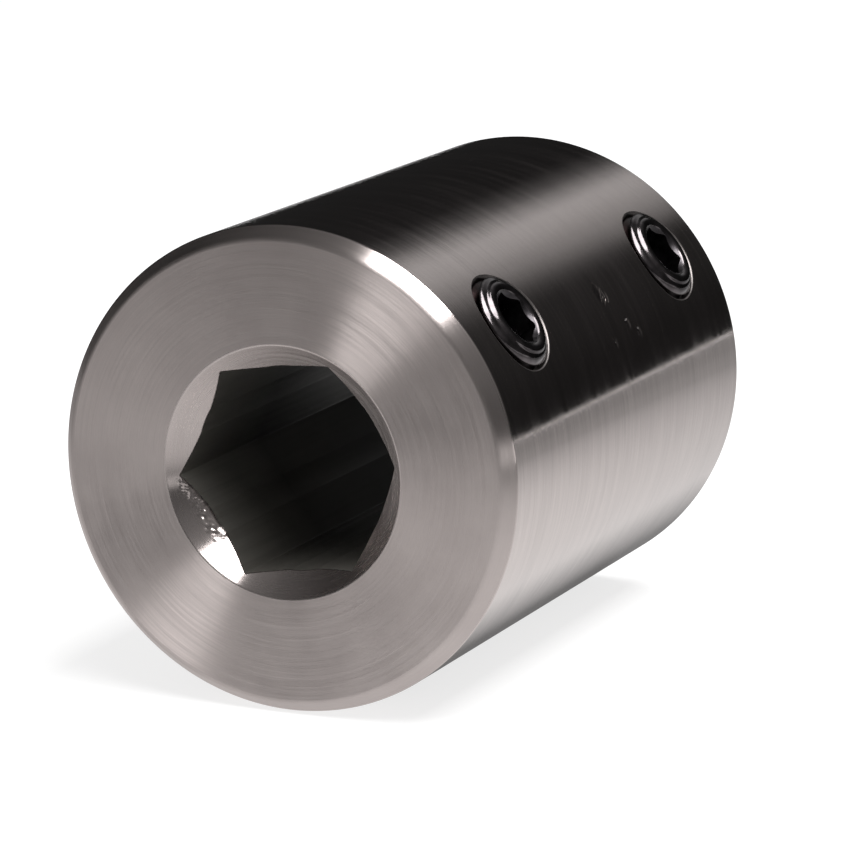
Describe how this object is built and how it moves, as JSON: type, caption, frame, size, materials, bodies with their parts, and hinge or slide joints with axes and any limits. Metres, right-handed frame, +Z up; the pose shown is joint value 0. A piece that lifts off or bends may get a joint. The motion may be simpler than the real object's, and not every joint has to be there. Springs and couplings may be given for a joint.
{
  "type": "rigid sleeve coupling",
  "caption": "Steel sleeve with a hexagonal through bore that joins two hex shafts end to end, each locked by a socket set screw through the wall.",
  "frame": {"origin": "on the bore axis, halfway between the two end faces", "axes": "+Y along the coupling axis towards the rear end, the front end faces -Y, +Z up; the set screws point out at 37 degrees from +X towards +Z"},
  "size_m": [0.0381, 0.0508, 0.038],
  "materials": {
    "machined_steel": "turned",
    "black_oxide_steel": "black oxide, oiled"
  },
  "bodies": {
    "sleeve": {"sleeve": "machined_steel"},
    "front_screw": {"front_set_screw": "black_oxide_steel"},
    "rear_screw": {"rear_set_screw": "black_oxide_steel"}
  },
  "joints": [
    {"name": "front_screw_travel", "type": "slide", "parent": "sleeve", "child": "front_screw", "axis": [0.7986, 0, 0.6018], "range_m": [-0.00371, 0.00317]},
    {"name": "rear_screw_travel", "type": "slide", "parent": "sleeve", "child": "rear_screw", "axis": [0.7986, 0, 0.6018], "range_m": [-0.00371, 0.00317]}
  ]
}
